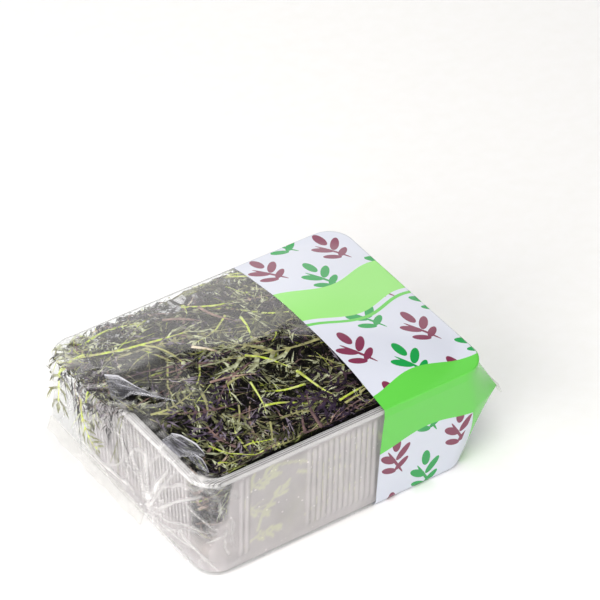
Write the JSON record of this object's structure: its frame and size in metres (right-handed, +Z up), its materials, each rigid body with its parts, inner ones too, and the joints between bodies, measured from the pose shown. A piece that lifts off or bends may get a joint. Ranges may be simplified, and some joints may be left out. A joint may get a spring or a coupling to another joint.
{
  "type": "packed red mizuna salad leaves",
  "caption": "Loose, finely cut red mizuna leaves heaped in a clear ribbed plastic tray and sealed in a flow-wrap film whose right end is printed.",
  "frame": {"origin": "middle of the pack's flat underside, on the surface that it stands on", "axes": "+Z up; +X along the pack towards its printed end; +Y towards the back long side"},
  "size_m": [0.231, 0.1506, 0.0863],
  "materials": {
    "tray_clear": "gloss",
    "film_clear": "gloss",
    "leaf_purple": "matte",
    "leaf_green": "matte"
  },
  "bodies": {
    "root": {"tray": "tray_clear", "film_wrap": "film_clear", "mizuna_heap": "leaf_purple", "laid_leaf_1": "leaf_green", "laid_leaf_2": "leaf_green", "laid_leaf_3": "leaf_green", "laid_leaf_4": "leaf_green", "laid_leaf_5": "leaf_purple", "laid_leaf_6": "leaf_purple", "laid_leaf_7": "leaf_purple", "laid_leaf_8": "leaf_purple"}
  },
  "joints": []
}
